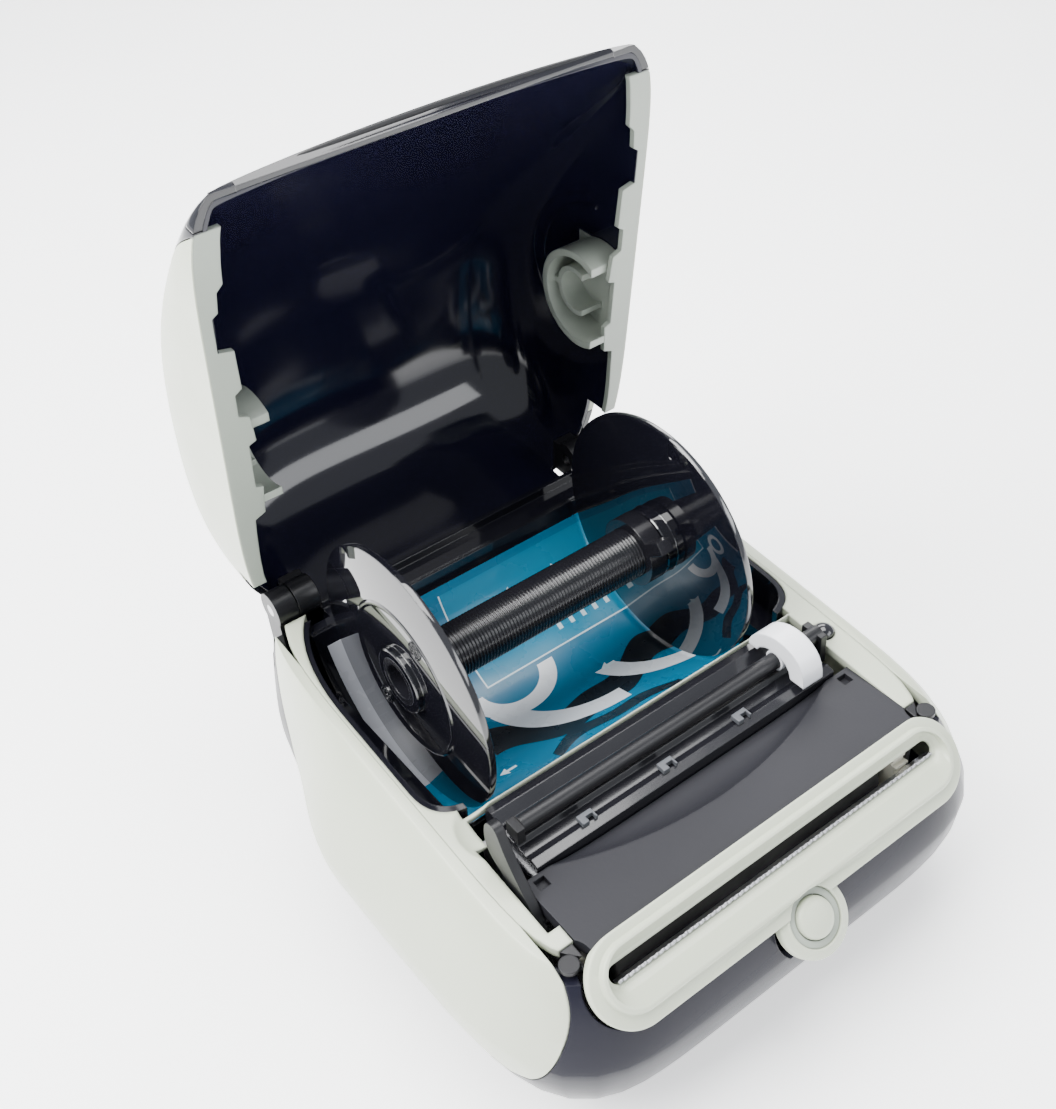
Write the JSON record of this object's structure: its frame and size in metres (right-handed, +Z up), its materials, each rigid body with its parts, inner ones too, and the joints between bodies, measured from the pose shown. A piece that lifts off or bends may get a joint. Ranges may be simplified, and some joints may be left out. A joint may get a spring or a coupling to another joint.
{
  "type": "desktop label maker",
  "caption": "Desktop label printer with a clamshell lid, a loose label spool in a deep well, a front feed deck and a front label slot.",
  "frame": {"origin": "on the surface it stands on, under the middle of the object's box with the lid open", "axes": "+X to the right seen from the front, +Y to the rear, +Z up"},
  "size_m": [0.1832, 0.2372, 0.235],
  "materials": {
    "black_matte": "fine moulded grain",
    "bumper": "satin moulded",
    "cream": "satin moulded",
    "black_gloss": "polished",
    "liner": "polished",
    "label_paper": "printed",
    "deck_grey": "fine moulded grain",
    "clip_grey": "moulded",
    "steel": "brushed",
    "guide_white": "satin moulded",
    "rubber": "moulded",
    "gear_nylon": "moulded",
    "brass": "machined",
    "motor_steel": "plated",
    "ceramic": "ground",
    "aluminium": "pressed",
    "board": "solder mask",
    "cable_white": "film",
    "pale_grey": "satin moulded",
    "smoke": "translucent smoke plastic"
  },
  "bodies": {
    "root": {"bottom_cover": "black_matte", "lower_shell": "black_matte", "front_bumper": "bumper", "side_panel_left": "cream", "side_panel_right": "cream", "upper_housing": "cream", "label_well": "black_gloss", "reference_label": "label_paper", "deck_cover": "deck_grey", "feed_plate": "black_matte", "guide_clips": "clip_grey", "corner_caps": "black_matte", "corner_screws": "black_matte", "front_bezel": "cream", "tear_bar": "steel", "button_ring": "clip_grey", "feed_button_spring": "steel", "eject_button_spring": "steel", "guide_rail": "black_matte", "chassis": "steel", "platen_bushings": "gear_nylon", "idler_pin": "steel", "stepper_motor": "motor_steel", "head_springs": "steel", "label_sensor": "board", "main_board": "board", "flat_cable": "cable_white", "usb_port": "steel", "power_jack": "black_matte", "rubber_feet": "rubber", "base_screws": "steel", "hinge_knuckles": "black_matte", "hinge_pins": "steel"},
    "lid": {"lid_shell": "black_gloss", "lid_liner": "liner", "lid_panel_left": "cream", "lid_panel_right": "cream", "lid_corner_blocks": "black_gloss", "cradle_left": "pale_grey", "cradle_right": "pale_grey", "lid_hinge_bar": "black_matte", "lid_screws": "steel"},
    "spool": {"spool_spindle": "black_matte", "spool_left_flange": "black_gloss"},
    "sliding_flange": {"spool_right_flange": "smoke"},
    "flange_lock": {"spool_lock": "black_matte"},
    "feed_key": {"feed_button": "cream"},
    "eject_key": {"eject_button": "black_gloss"},
    "head_lever": {"release_lever": "black_matte"},
    "head": {"print_head": "ceramic", "head_carrier": "aluminium"},
    "paper_guide": {"edge_guide": "guide_white"},
    "platen": {"platen_shaft": "steel", "platen_rubber": "rubber", "platen_gear": "gear_nylon"},
    "idler": {"idler_gear": "gear_nylon"},
    "motor_rotor": {"motor_pinion": "brass"}
  },
  "joints": [
    {"name": "lid_hinge", "type": "hinge", "parent": "root", "child": "lid", "pos_m": [0, 0.0632, 0.084], "axis": [1, 0, 0], "range_deg": [0, 86]},
    {"name": "spool_spin", "type": "hinge", "parent": "root", "child": "spool", "pos_m": [0, 0.0056, 0.089], "axis": [1, 0, 0], "continuous": true},
    {"name": "flange_slide", "type": "slide", "parent": "spool", "child": "sliding_flange", "axis": [1, 0, 0], "range_m": [-0.07, 0.006]},
    {"name": "flange_lock_turn", "type": "hinge", "parent": "sliding_flange", "child": "flange_lock", "pos_m": [0, 0.0056, 0.089], "axis": [1, 0, 0], "range_deg": [0, 30]},
    {"name": "feed_key_press", "type": "slide", "parent": "root", "child": "feed_key", "axis": [0, 0.7258, -0.688], "range_m": [0, 0.0015], "stiffness_N_per_m": 400, "deforming": ["feed_button_spring"]},
    {"name": "eject_key_press", "type": "slide", "parent": "root", "child": "eject_key", "axis": [0, 0, -1], "range_m": [0, 0.0012], "stiffness_N_per_m": 400, "deforming": ["eject_button_spring"]},
    {"name": "release_lever_turn", "type": "hinge", "parent": "root", "child": "head_lever", "pos_m": [-0.0633, -0.0678, 0.06], "axis": [1, 0, 0], "range_deg": [0, 6], "stiffness_Nm_per_rad": 0.15},
    {"name": "head_lift", "type": "hinge", "parent": "root", "child": "head", "pos_m": [0, -0.0678, 0.06], "axis": [1, 0, 0], "range_deg": [-4.2, 0.2], "deforming": ["head_springs"]},
    {"name": "paper_guide_slide", "type": "slide", "parent": "root", "child": "paper_guide", "axis": [1, 0, 0], "range_m": [-0.085, 0.006]},
    {"name": "platen_turn", "type": "hinge", "parent": "root", "child": "platen", "pos_m": [0, -0.0838, 0.054], "axis": [1, 0, 0], "continuous": true},
    {"name": "idler_turn", "type": "hinge", "parent": "root", "child": "idler", "pos_m": [0.052, -0.0648, 0.03684], "axis": [1, 0, 0], "continuous": true},
    {"name": "motor_turn", "type": "hinge", "parent": "root", "child": "motor_rotor", "pos_m": [0.052, -0.08281, 0.02644], "axis": [1, 0, 0], "continuous": true}
  ],
  "couplings": [
    {"joint": "head_lift", "follows": "release_lever_turn", "ratio": -0.65},
    {"joint": "idler_turn", "follows": "platen_turn", "ratio": -0.6},
    {"joint": "motor_turn", "follows": "platen_turn", "ratio": 2}
  ]
}
